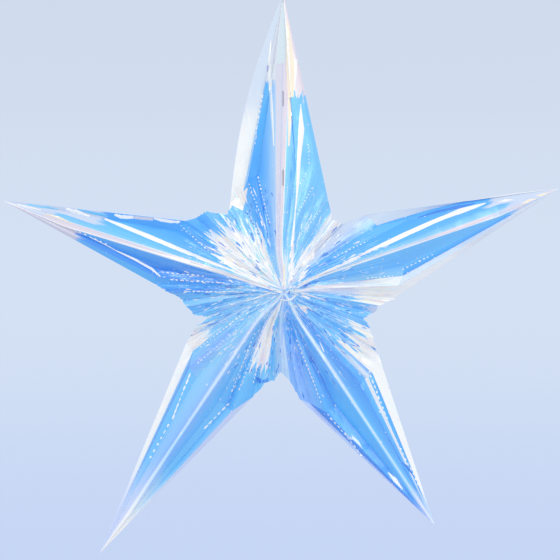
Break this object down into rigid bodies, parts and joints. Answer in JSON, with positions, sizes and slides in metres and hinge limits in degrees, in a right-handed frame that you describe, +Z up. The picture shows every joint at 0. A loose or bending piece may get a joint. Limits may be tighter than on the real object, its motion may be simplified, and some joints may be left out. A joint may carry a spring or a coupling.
{
  "type": "origami star",
  "caption": "Hanging paper-craft star: one pleated sheet of iridescent film card opened into five long ridged arms, closed by staples, with a thread loop at its top tip.",
  "frame": {"origin": "the point where the hanging thread sits on its hook, above the top tip", "axes": "+Z up along the top arm, +X to the right across the star, -Y towards the viewer, the side that the folds stand out to"},
  "size_m": [0.4549, 0.0331, 0.4902],
  "materials": {
    "film_card": "glossy iridescent film on card, blue shifting to pearl, pink and aqua",
    "staple_wire": "bright galvanised wire",
    "thread": "twisted pale thread"
  },
  "bodies": {
    "root": {"folded_star": "film_card", "closing_staples": "staple_wire", "hanging_thread": "thread"}
  },
  "joints": []
}
